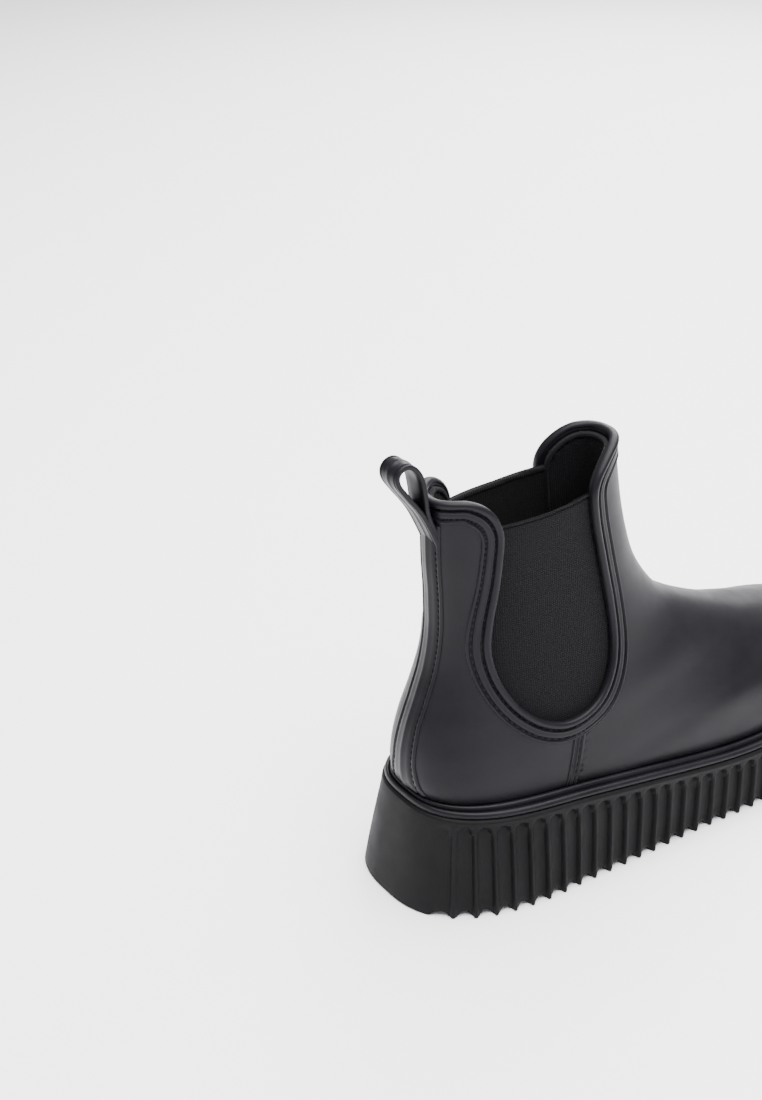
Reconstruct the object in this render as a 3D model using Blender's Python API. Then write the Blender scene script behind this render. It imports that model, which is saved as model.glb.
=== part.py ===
"""Ankle-height rubber rain boot on a thick fluted platform sole, built as an assembly.

The toe points along +X, the outer side of the foot faces -Y and +Z is up.
Outlines are drawn in millimetres from the back of the heel and the ground,
and place() turns them into metres about the middle of the whole boot.
"""
import math

import bmesh
import bpy
from mathutils import Vector

# ---- driving dimensions, millimetres ----
BOX_MIDDLE_X = 135.9     # from the back of the sole to the middle of the whole boot
BOX_MIDDLE_Y = 1.35      # from the middle of the heel to the middle of the whole boot
SHELL_THICKNESS = 2.0    # rubber upper
LAYER_GAP = 0.3          # clearance kept between pieces that touch
LINING_THICKNESS = 1.3
BOND_GAP = 0.8           # between the shell and the lining or elastic behind it
TRIM_LIFT = 0.8          # underside of the band and the heel stay above the shell
TRIM_THICKNESS = 1.3
BAND_WIDTH = 8.7
THREAD_RADIUS = 0.45
THREAD_ROWS = (3.5, 7.2)          # distances of the stitch rows from the band's inner edge
LASTING_HEIGHT = 3.0              # the shell stops this far above its own floor
GROOVE_PITCH = 8.1
GROOVE_FIRST = 7.6
GROOVE_HALF_WIDTH = 2.7
GROOVE_TOP_HALF = 1.5
GROOVE_DEPTH = 2.9
ROUND_STEPS = (0.3, 1.2, 2.7)         # extra stations that round the heel and the toe
FLUTE_DEPTH = 1.4
FLUTE_TOP = 2.2                   # flutes end this far below the rim
CORE_BASE = 12.0
CORE_LENGTH = (20.0, 118.0)
FOAM_THICKNESS = 5.0
COVER_THICKNESS = 1.5
TAB_WIDTH = 11.5
TAB_THICKNESS = 2.0
SECTION_STEPS = 12
ROW_STEPS = 22

# Sections of the upper, from the open top down to the toe. Each is a slice through
# the boot: its back or lower end (x, z), its front or upper end (x, z), half width,
# sideways shift, and how square its back and front halves are.
SECTIONS = (
    (21.5, 204.0, 106.5, 204.0, 19.5, 0.0, 2.3, 2.3),
    (21.0, 186.0, 107.5, 186.0, 19.5, 0.0, 2.3, 2.3),
    (20.5, 168.0, 110.0, 169.0, 19.8, 0.0, 2.3, 2.3),
    (20.8, 150.0, 112.5, 154.0, 20.5, 0.0, 2.3, 2.3),
    (22.0, 134.0, 115.5, 141.0, 21.8, 0.0, 2.3, 2.3),
    (22.2, 118.0, 120.0, 127.5, 23.5, 0.0, 2.3, 2.3),
    (20.0, 103.0, 127.5, 115.5, 25.5, 0.0, 2.3, 2.2),
    (15.4, 89.0, 137.0, 104.5, 27.5, 0.0, 2.3, 2.2),
    (10.8, 76.0, 149.0, 96.5, 29.5, 0.0, 2.4, 2.2),
    (8.6, 63.0, 164.0, 88.8, 31.5, -0.5, 2.6, 2.2),
    (10.3, 50.0, 179.0, 82.6, 32.5, -1.0, 3.0, 2.2),
    (20.0, 39.0, 194.0, 78.3, 33.5, -1.5, 3.2, 2.2),
    (45.0, 36.5, 208.0, 74.2, 34.5, -1.5, 3.8, 2.2),
    (78.0, 34.0, 220.0, 70.7, 36.5, -1.0, 4.2, 2.2),
    (112.0, 30.5, 231.0, 67.0, 38.2, 0.0, 4.5, 2.2),
    (146.0, 26.5, 241.0, 62.5, 39.5, 0.8, 4.5, 2.2),
    (178.0, 25.0, 250.0, 59.0, 39.0, 1.8, 4.5, 2.2),
    (205.0, 26.0, 257.0, 54.0, 35.5, 3.2, 4.0, 2.2),
    (228.0, 28.5, 262.5, 47.5, 28.5, 4.5, 3.5, 2.2),
    (241.0, 30.5, 265.3, 40.5, 21.0, 5.5, 3.2, 2.2),
    (250.0, 32.0, 264.8, 34.2, 13.5, 6.0, 2.8, 2.2),
)

# Edge of the rubber seen from the side (x, z): over the quarter, down and round the
# elastic, up the tongue. It starts on the back of the boot and ends on its front.
QUARTER_EDGE = ((24.0, 176.5), (30.0, 176.5), (36.0, 173.5), (40.5, 168.5), (43.0, 161.0))
GUSSET_EDGE = ((42.5, 150.0), (41.0, 138.0), (38.5, 124.0), (37.5, 111.0), (40.5, 98.0),
               (47.5, 86.5), (58.0, 78.0), (70.0, 75.0), (82.0, 79.0), (90.0, 88.5),
               (93.5, 101.0), (93.0, 118.0), (90.0, 137.0), (87.0, 154.0))
TONGUE_EDGE = ((86.0, 165.5), (88.5, 172.5), (94.0, 178.0), (99.5, 181.3), (104.5, 182.7))
GUSSET_TOP_Z = 164.6
EDGE_BACK_Z = 176.0
EDGE_FRONT_Z = 183.2

# Height of the sole's rim, and the ground line with its toe spring, along x.
RIM_HEIGHT = ((0.0, 45.1), (12.0, 44.6), (30.0, 43.3), (48.0, 42.6), (67.0, 41.6), (86.0, 39.4),
              (106.0, 36.9), (127.0, 33.4), (146.0, 30.6), (166.0, 29.3), (200.0, 29.6),
              (225.0, 31.6), (250.0, 34.6), (275.0, 38.6))
TOE_SPRING_START = 180.0
TOE_SPRING_RATE = 0.0012

SEAM = ((72.0, 240.0), (72.0, 80.0), (73.5, 68.0), (70.5, 45.0), (69.5, 20.0))
FLOOR_LINE = ((0.0, 38.5), (20.0, 38.5), (45.0, 36.5), (78.0, 34.0), (112.0, 30.5),
              (146.0, 26.5), (178.0, 25.0), (205.0, 26.0), (228.0, 28.3), (246.0, 31.0),
              (257.0, 32.4), (290.0, 37.0))
FOOTBED_FRONT = 250.0
LINING_OUTER = SHELL_THICKNESS + BOND_GAP
LINING_INNER = LINING_OUTER + LINING_THICKNESS
LINING_DROP = 9.0                 # the lining ends this far below the rubber's edge
GUSSET_MARGIN = 8.4               # the elastic runs this far under the rubber
EDGE_STEPS = 56
STAY_BOTTOM = 50.5
STAY_TOP = 164.5
STAY_STEPS = 16
STAY_WIDTHS = ((50.0, 11.5), (59.0, 8.0), (80.0, 6.6), (200.0, 6.3))
LOWEST_ROWS = (10.5, 20.0)        # last rows of the back line and of the front line
# Stand-out of the wall: all round, flared at the heel, tucked in behind it, swelling beside it.
SOLE_BOTTOM = (7.4, 4.4, 0.0, 3.0)
SOLE_FLUTE_TOP = (6.6, 0.0, -2.4, 0.3)
SOLE_LEDGE = (7.0, 0.0, -3.0, 0.0)
SOLE_RIM = (5.4, 0.0, -2.4, 0.0)
CORE_INSET = 8.0
CORE_TOP = 60.0
CORE_STEPS = 8
WELT_STEPS = 38
WELT_HEEL_TUCK = 2.8              # the bead lies closer behind the heel
WELT_PROFILE = ((-2.5, 0.0), (5.9, 0.0), (6.2, 1.4), (4.2, 2.7), (2.7, 1.8), (1.7, 3.7), (-0.5, 3.9))
GIRTH_LIFT = 3.9                  # the sole follows the upper's outline this far over the rim
TAB_HINGE = (12.2, 167.1)
TAB_ROOT = (158.0, 166.8)
TAB_PATH = ((15.4, 167.6), (15.5, 172.0), (15.8, 177.0), (15.4, 182.0), (14.2, 187.4),
            (11.4, 191.8), (8.0, 193.8), (4.8, 193.0), (3.2, 190.3), (4.1, 186.6),
            (8.4, 180.4), (12.1, 174.4), (12.8, 167.6))

RUBBER_BLACK = (0.022, 0.022, 0.027)
SOLE_BLACK = (0.020, 0.020, 0.021)
ELASTIC_BLACK = (0.014, 0.014, 0.015)
THREAD_BLACK = (0.016, 0.016, 0.018)
LINING_GREY = (0.060, 0.062, 0.068)
FOAM_GREY = (0.100, 0.100, 0.105)
BOARD_BROWN = (0.210, 0.150, 0.095)


def place(x, y, z):
    """Design millimetres to metres about the middle of the boot."""
    return Vector(((x - BOX_MIDDLE_X) / 1000, (y - BOX_MIDDLE_Y) / 1000, z / 1000))


def blend_table(rows, position):
    """Catmull-Rom through equally spaced rows; position counts rows from 0."""
    last = len(rows) - 1
    i = min(int(position), last - 1)
    t = position - i
    a = rows[max(i - 1, 0)]
    b = rows[i]
    c = rows[i + 1]
    d = rows[min(i + 2, last)]
    return tuple(0.5 * (2 * q + (r - p) * t + (2 * p - 5 * q + 4 * r - s) * t * t
                        + (3 * q - p - 3 * r + s) * t ** 3)
                 for p, q, r, s in zip(a, b, c, d))


def height_at(table, x):
    """Straight-line reading of a table of (x, z)."""
    if x <= table[0][0]:
        return table[0][1]
    for (x0, z0), (x1, z1) in zip(table, table[1:]):
        if x <= x1:
            return z0 + (z1 - z0) * (x - x0) / (x1 - x0)
    return table[-1][1]


def ground_height(x):
    return TOE_SPRING_RATE * max(0.0, x - TOE_SPRING_START) ** 2


# ---- the surface of the upper ----

def upper_point(row, angle, side):
    """Point of the shell's outer face; angle runs from 0 at the back to pi at the front."""
    bx, bz, fx, fz, width, shift, back_square, front_square = blend_table(SECTIONS, row)
    square = back_square if angle < math.pi / 2 else front_square
    along = -math.copysign(abs(math.cos(angle)) ** (2 / square), math.cos(angle))
    across = abs(math.sin(angle)) ** (2 / square)
    t = (along + 1) / 2
    return Vector((bx + (fx - bx) * t, shift * across + side * width * across, bz + (fz - bz) * t))


def upper_normal(row, angle, side):
    """Outward direction of the shell's face."""
    step = 0.02
    angle = min(max(angle, step), math.pi - step)
    row = min(max(row, step), len(SECTIONS) - 1 - step)
    d_row = upper_point(row + step, angle, side) - upper_point(row - step, angle, side)
    d_angle = upper_point(row, angle + step, side) - upper_point(row, angle - step, side)
    normal = d_angle.cross(d_row) * side
    return normal.normalized()


def from_side(x, z):
    """Row and angle of the shell's point that is seen at (x, z) from the side."""
    low = 0.0
    high = float(len(SECTIONS) - 1)
    for _ in range(40):
        row = (low + high) / 2
        bx, bz, fx, fz = blend_table(SECTIONS, row)[:4]
        if (fx - bx) * (z - bz) - (fz - bz) * (x - bx) > 0:
            high = row
        else:
            low = row
    bx, bz, fx, fz, _, _, back_square, front_square = blend_table(SECTIONS, row)
    t = ((x - bx) * (fx - bx) + (z - bz) * (fz - bz)) / ((fx - bx) ** 2 + (fz - bz) ** 2)
    along = min(max(2 * t - 1, -1.0), 1.0)
    square = back_square if along < 0 else front_square
    cosine = -math.copysign(abs(along) ** (square / 2), along)
    return row, math.acos(min(max(cosine, -1.0), 1.0))


def row_at_height(z, end):
    """Row whose back end (0) or front end (1) is at height z, where the ends still fall."""
    low = 0.0
    high = LOWEST_ROWS[end]
    for _ in range(40):
        row = (low + high) / 2
        if blend_table(SECTIONS, row)[1 + 2 * end] > z:
            low = row
        else:
            high = row
    return row


# ---- meshes and objects ----

def make_object(name, mesh_builder, collection):
    bm = bmesh.new()
    mesh_builder(bm)
    bmesh.ops.recalc_face_normals(bm, faces=bm.faces)
    mesh = bpy.data.meshes.new(name)
    bm.to_mesh(mesh)
    bm.free()
    mesh.shade_smooth()
    mesh.set_sharp_from_angle(angle=math.radians(35))
    obj = bpy.data.objects.new(name, mesh)
    collection.objects.link(obj)
    return obj


def add_face(bm, corners):
    """A face over the corners that differ."""
    kept = list(dict.fromkeys(corners))
    if len(kept) > 2:
        bm.faces.new(kept)


def bridge_rings(bm, rings, closed_around=False, caps=True):
    """Faces between neighbouring rings of vertices, with flat ends if asked."""
    count = len(rings[0])
    pairs = list(zip(rings, rings[1:]))
    if closed_around:
        pairs.append((rings[-1], rings[0]))
    for ring, following in pairs:
        for i in range(count):
            j = (i + 1) % count
            add_face(bm, (ring[i], ring[j], following[j], following[i]))
    if caps and not closed_around:
        add_face(bm, rings[0])
        add_face(bm, rings[-1])


def upper_rings(bm, depth):
    """The sock-shaped surface of the upper as rings of vertices, moved out by depth."""
    rings = []
    for i in range(ROW_STEPS + 1):
        row = i * (len(SECTIONS) - 1) / ROW_STEPS
        ring = []
        for side, steps in ((-1, range(SECTION_STEPS + 1)), (1, range(SECTION_STEPS - 1, 0, -1))):
            for k in steps:
                angle = math.pi * k / SECTION_STEPS
                point = upper_point(row, angle, side)
                ring.append(point + upper_normal(row, angle, side) * depth)
        if i == ROW_STEPS:
            bx, bz, fx, fz = SECTIONS[-1][:4]
            onward = Vector((fz - bz, 0, bx - fx)).normalized()
            ring = [p + onward * depth for p in ring]
        rings.append([bm.verts.new(place(*p)) for p in ring])
    return rings


def upper_shell(name, depth, thickness, collection):
    """A wall of the sock-shaped surface, open at the top, from depth inwards."""
    def build(bm):
        outer = upper_rings(bm, depth)
        inner = upper_rings(bm, depth - thickness)
        for rings in (outer, inner):
            bridge_rings(bm, rings, caps=False)
            add_face(bm, rings[-1])
        bridge_rings(bm, [outer[0], inner[0]], caps=False)
    return make_object(name, build, collection)


def upper_solid(name, depth, collection):
    """The whole volume inside the sock-shaped surface."""
    def build(bm):
        bridge_rings(bm, upper_rings(bm, depth))
    return make_object(name, build, collection)


def side_prism(name, outline, y_low, y_high, collection):
    """An outline of (x, z) pushed through the boot from y_low to y_high."""
    def build(bm):
        near = [bm.verts.new(place(x, y_low, z)) for x, z in outline]
        far = [bm.verts.new(place(x, y_high, z)) for x, z in outline]
        bridge_rings(bm, [near, far])
    return make_object(name, build, collection)


def cut(obj, cutter, operation, solver="EXACT"):
    boolean = obj.modifiers.new(cutter.name, "BOOLEAN")
    boolean.operation = operation
    boolean.solver = solver
    boolean.object = cutter


# ---- outlines on the upper ----

def edge_frames(steps):
    """Points of the rubber's edge, evenly spaced on the shell, and the way into the rubber."""
    back_x = blend_table(SECTIONS, row_at_height(EDGE_BACK_Z, 0))[0]
    front_x = blend_table(SECTIONS, row_at_height(EDGE_FRONT_Z, 1))[2]
    corners = [(back_x, EDGE_BACK_Z), *QUARTER_EDGE, *GUSSET_EDGE, *TONGUE_EDGE,
               (front_x, EDGE_FRONT_Z)]
    fine = 400
    smooth = [blend_table(corners, i * (len(corners) - 1) / fine) for i in range(fine + 1)]
    on_shell = [upper_point(*from_side(x, z), -1) for x, z in smooth]
    lengths = [0.0]
    for before, after in zip(on_shell, on_shell[1:]):
        lengths.append(lengths[-1] + (after - before).length)
    frames = []
    j = 0
    for i in range(steps + 1):
        wanted = lengths[-1] * i / steps
        while j < fine - 1 and lengths[j + 1] < wanted:
            j += 1
        t = (wanted - lengths[j]) / max(lengths[j + 1] - lengths[j], 1e-9)
        x = smooth[j][0] + (smooth[j + 1][0] - smooth[j][0]) * t
        z = smooth[j][1] + (smooth[j + 1][1] - smooth[j][1]) * t
        x0, z0 = smooth[max(j - 2, 0)]
        x1, z1 = smooth[min(j + 3, fine)]
        length = math.hypot(x1 - x0, z1 - z0)
        frames.append((x, z, (z1 - z0) / length, -(x1 - x0) / length))
    return frames


def edge_path(offset):
    """The rubber's edge seen from the side, moved into the rubber by offset."""
    return [(x + nx * offset, z + nz * offset) for x, z, nx, nz in edge_frames(EDGE_STEPS)]


def beyond_edge(offset):
    """Side-view outline of everything past the edge moved in by offset."""
    path = edge_path(offset)
    return ([(-40.0, 240.0), (-40.0, path[0][1]), (path[0][0] - 8, path[0][1])] + path[1:-1]
            + [(path[-1][0] + 8, path[-1][1]), (170.0, path[-1][1]), (170.0, 240.0)])


def gusset_outline(offset):
    """The elastic's panel: inside the U, grown by offset under the rubber."""
    return [(x + nx * offset, z + nz * offset) for x, z, nx, nz in edge_frames(EDGE_STEPS)
            if z < GUSSET_TOP_Z]


def edge_ring(name, profile, collection):
    """A closed ring along the whole edge; profile holds (distance in, height off the shell)."""
    frames = edge_frames(EDGE_STEPS)
    last = len(frames) - 1
    stations = [(-1, i) for i in range(last + 1)] + [(1, i) for i in range(last - 1, 0, -1)]

    def build(bm):
        rings = []
        for side, i in stations:
            x, z, nx, nz = frames[i]
            ring = []
            for distance, height in profile:
                row, angle = from_side(x + nx * distance, z + nz * distance)
                if i == 0:
                    angle = 0.0
                if i == last:
                    angle = math.pi
                point = upper_point(row, angle, side) + upper_normal(row, angle, side) * height
                ring.append(bm.verts.new(place(*point)))
            rings.append(ring)
        bridge_rings(bm, rings, closed_around=True)
    return make_object(name, build, collection)


def thread_section(middle, height, radius):
    """Three-cornered cross-section of a thread lying at height over the shell."""
    return ((middle - radius, height), (middle, height + radius), (middle + radius, height))


def stay_point(z, y, height):
    """Point near the back centre line, y to the side of it and height off the shell."""
    row = row_at_height(z, 0)
    width = blend_table(SECTIONS, row)[4]
    square = blend_table(SECTIONS, row)[6]
    angle = math.asin((abs(y) / width) ** (square / 2))
    side = -1 if y < 0 else 1
    return upper_point(row, angle, side) + upper_normal(row, angle, side) * height


def stay_half_width(z):
    """The stay flares out where it meets the sole."""
    return height_at(STAY_WIDTHS, z)


def heel_stay(collection):
    low = TRIM_LIFT
    high = TRIM_LIFT + TRIM_THICKNESS

    def build(bm):
        rings = []
        for i in range(STAY_STEPS + 1):
            z = STAY_BOTTOM + (STAY_TOP - STAY_BOTTOM) * i / STAY_STEPS
            half = stay_half_width(z)
            across = [half * k / 3 for k in range(-3, 4)]
            ring = [stay_point(z, y, high) for y in across]
            ring += [stay_point(z, y, low) for y in reversed(across)]
            rings.append([bm.verts.new(place(*p)) for p in ring])
        bridge_rings(bm, rings)
    return make_object("heel_stay", build, collection)


def stay_thread(name, side, collection):
    base = TRIM_LIFT + TRIM_THICKNESS + LAYER_GAP + THREAD_RADIUS + 0.1

    def build(bm):
        rings = []
        for i in range(STAY_STEPS + 1):
            z = STAY_BOTTOM + 1 + (TAB_ROOT[0] - STAY_BOTTOM - 4) * i / STAY_STEPS
            middle = side * (stay_half_width(z) - 2.0)
            ring = [stay_point(z, y, h) for y, h in thread_section(middle, base, THREAD_RADIUS)]
            rings.append([bm.verts.new(place(*p)) for p in ring])
        bridge_rings(bm, rings)
    return make_object(name, build, collection)


# ---- the sole ----

def rim_end(end):
    """Position of the upper's back (0) or front (1) just over the rim."""
    x = RIM_HEIGHT[-end][0]
    for _ in range(5):
        x = blend_table(SECTIONS, row_at_height(height_at(RIM_HEIGHT, x) + GIRTH_LIFT, end))[2 * end]
    return x


def girth(t, side):
    """Point and outward direction, in plan, of the upper just over the rim."""
    back_x = rim_end(0)
    front_x = rim_end(1)

    def at(u):
        u = min(max(u, 0.0), 1.0)
        x = back_x + (front_x - back_x) * (1 - math.cos(math.pi * u)) / 2
        row, angle = from_side(x, height_at(RIM_HEIGHT, x) + GIRTH_LIFT)
        if u == 0.0:
            angle = 0.0
        if u == 1.0:
            angle = math.pi
        return upper_point(row, angle, side)
    here = at(t)
    before = at(t - 0.01)
    after = at(t + 0.01)
    if t < 0.01:
        before = Vector((after.x, -after.y, 0))
    if t > 0.99:
        after = Vector((before.x, 2 * here.y - before.y, 0))
    along = Vector((after.x - before.x, after.y - before.y, 0)).normalized()
    outward = Vector((-along.y, along.x, 0)) * side
    return here, outward


def sole_offset(t, level, side):
    """How far the sole stands out from the upper at a level of its wall."""
    flare = max(0.0, 1 - (t / 0.32) ** 2)
    tuck = max(0.0, 1 - t / 0.25)
    swell = math.sin(math.pi * min(t / (0.35 if side > 0 else 0.5), 1.0)) ** 2
    return level[0] + level[1] * flare + level[2] * tuck + level[3] * swell


def flute_weight(x):
    """Flutes fade out round the back of the heel and round the toe."""
    return min(max((x - 14) / 8, 0.0), 1.0) * min(max((256 - x) / 16, 0.0), 1.0)


def sole_station(x, side):
    """Position along the girth where the bottom edge of the sole is at x."""
    low = 0.0
    high = 1.0
    for _ in range(30):
        t = (low + high) / 2
        point, outward = girth(t, side)
        if point.x + outward.x * sole_offset(t, SOLE_BOTTOM, side) > x:
            high = t
        else:
            low = t
    return t


def sole_wall(t, side, groove):
    """The wall's corners from the ground to the rim at one place of the outline."""
    point, outward = girth(t, side)
    rim = height_at(RIM_HEIGHT, point.x)
    recess = FLUTE_DEPTH * flute_weight(point.x) if groove else 0.0
    bottom = sole_offset(t, SOLE_BOTTOM, side) - recess
    foot_x = point.x + outward.x * bottom
    levels = ((bottom, ground_height(foot_x) + (GROOVE_DEPTH if groove else 0.0)),
              (sole_offset(t, SOLE_FLUTE_TOP, side) - recess, rim - FLUTE_TOP),
              (sole_offset(t, SOLE_LEDGE, side), rim - FLUTE_TOP + 0.8),
              (sole_offset(t, SOLE_LEDGE, side) - 0.4, rim - 0.5),
              (sole_offset(t, SOLE_RIM, side), rim))
    return [(point.x + outward.x * d, point.y + outward.y * d, z) for d, z in levels]


def outsole(collection):
    back = girth(0.0, 1)[0].x - SOLE_BOTTOM[0] - SOLE_BOTTOM[1]
    front = girth(1.0, 1)[0].x + SOLE_BOTTOM[0]
    stations = [(back + step, False) for step in ROUND_STEPS]
    groove = GROOVE_FIRST
    while groove < front - 7:
        stations += [(groove - GROOVE_HALF_WIDTH, False), (groove - GROOVE_TOP_HALF, True),
                     (groove + GROOVE_TOP_HALF, True), (groove + GROOVE_HALF_WIDTH, False)]
        groove += GROOVE_PITCH
    stations += [(front - step, False) for step in reversed(ROUND_STEPS)]

    def build(bm):
        heel = [bm.verts.new(place(*p)) for p in sole_wall(0.0, 1, False)]
        toe = [bm.verts.new(place(*p)) for p in sole_wall(1.0, 1, False)]
        rings = [heel + heel[::-1]]
        for x, is_groove in stations:
            outer = sole_wall(sole_station(x, -1), -1, is_groove)
            inner = sole_wall(sole_station(x, 1), 1, is_groove)
            rings.append([bm.verts.new(place(*p)) for p in outer + inner[::-1]])
        rings.append(toe + toe[::-1])
        bridge_rings(bm, rings, caps=False)
    return make_object("outsole", build, collection)


def core_block(name, growth, collection):
    """The block under the heel; growth turns it into the pocket that holds it."""
    start = CORE_LENGTH[0] - growth
    end = CORE_LENGTH[1] + growth

    def build(bm):
        rings = []
        for i in range(CORE_STEPS + 1):
            x = start + (end - start) * i / CORE_STEPS
            edges = []
            for side in (-1, 1):
                point, _ = girth(sole_station(x, side), side)
                edges.append(point.y - side * (CORE_INSET - growth))
            ring = ((edges[0], CORE_BASE - growth), (edges[0], CORE_TOP), (edges[1], CORE_TOP),
                    (edges[1], CORE_BASE - growth))
            rings.append([bm.verts.new(place(x, y, z)) for y, z in ring])
        bridge_rings(bm, rings)
    return make_object(name, build, collection)


def welt_bead(collection):
    """The double bead that seals the upper to the rim."""
    def build(bm):
        rings = []
        stations = [(-1, i) for i in range(WELT_STEPS + 1)]
        stations += [(1, i) for i in range(WELT_STEPS - 1, 0, -1)]
        for side, i in stations:
            t = i / WELT_STEPS
            point, outward = girth(t, side)
            point = point - outward * (WELT_HEEL_TUCK * max(0.0, 1 - t / 0.25))
            rim = height_at(RIM_HEIGHT, point.x) + LAYER_GAP
            ring = [bm.verts.new(place(point.x + outward.x * d, point.y + outward.y * d, rim + h))
                    for d, h in WELT_PROFILE]
            rings.append(ring)
        bridge_rings(bm, rings, closed_around=True)
    return make_object("welt_bead", build, collection)


# ---- pull tab ----

def strap_outline(path, thickness):
    """Side-view outline of a strap that follows path."""
    left = []
    right = []
    for i, (x, z) in enumerate(path):
        x0, z0 = path[max(i - 1, 0)]
        x1, z1 = path[min(i + 1, len(path) - 1)]
        length = math.hypot(x1 - x0, z1 - z0)
        nx = -(z1 - z0) / length * thickness / 2
        nz = (x1 - x0) / length * thickness / 2
        left.append((x + nx, z + nz))
        right.append((x - nx, z - nz))
    return left + right[::-1]


def pull_tab(hinge, collection):
    """The strap's loop, hung on the hinge line at its foot."""
    count = 40
    path = [blend_table(TAB_PATH, i * (len(TAB_PATH) - 1) / count) for i in range(count + 1)]
    outline = [(x - TAB_HINGE[0], z - TAB_HINGE[1]) for x, z in strap_outline(path, TAB_THICKNESS)]

    def build(bm):
        half = TAB_WIDTH / 2000
        near = [bm.verts.new((x / 1000, -half, z / 1000)) for x, z in outline]
        far = [bm.verts.new((x / 1000, half, z / 1000)) for x, z in outline]
        bridge_rings(bm, [near, far])
    obj = make_object("pull_tab", build, collection)
    obj.parent = hinge
    return obj


def pull_tab_root(collection):
    """Both ends of the strap, sewn flat on the heel stay."""
    face = TRIM_LIFT + TRIM_THICKNESS + LAYER_GAP + 0.2
    heights = [TAB_ROOT[0] + (TAB_ROOT[1] - TAB_ROOT[0]) * i / 4 for i in range(5)]
    near = [(blend_table(SECTIONS, row_at_height(z, 0))[0] - face, z) for z in heights]
    far = [(x - 2 * TAB_THICKNESS - 0.4, z) for x, z in near]
    half = TAB_WIDTH / 2
    return side_prism("pull_tab_root", near + far[::-1], -half, half, collection)


# ---- finishes ----

def finish(obj, colour, roughness):
    """Give a piece its own plain material."""
    material = bpy.data.materials.new(obj.name + "_finish")
    material.use_nodes = True
    shader = material.node_tree.nodes["Principled BSDF"]
    shader.inputs["Base Color"].default_value = (*colour, 1.0)
    shader.inputs["Roughness"].default_value = roughness
    shader.inputs["Metallic"].default_value = 0.0
    obj.data.materials.append(material)


def line_outline(table, lift, x_low, x_high):
    """A side-view line over a table of heights, raised by lift."""
    inside = [(x, z + lift) for x, z in table if x_low < x < x_high]
    return ([(x_low, height_at(table, x_low) + lift)] + inside
            + [(x_high, height_at(table, x_high) + lift)])


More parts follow.
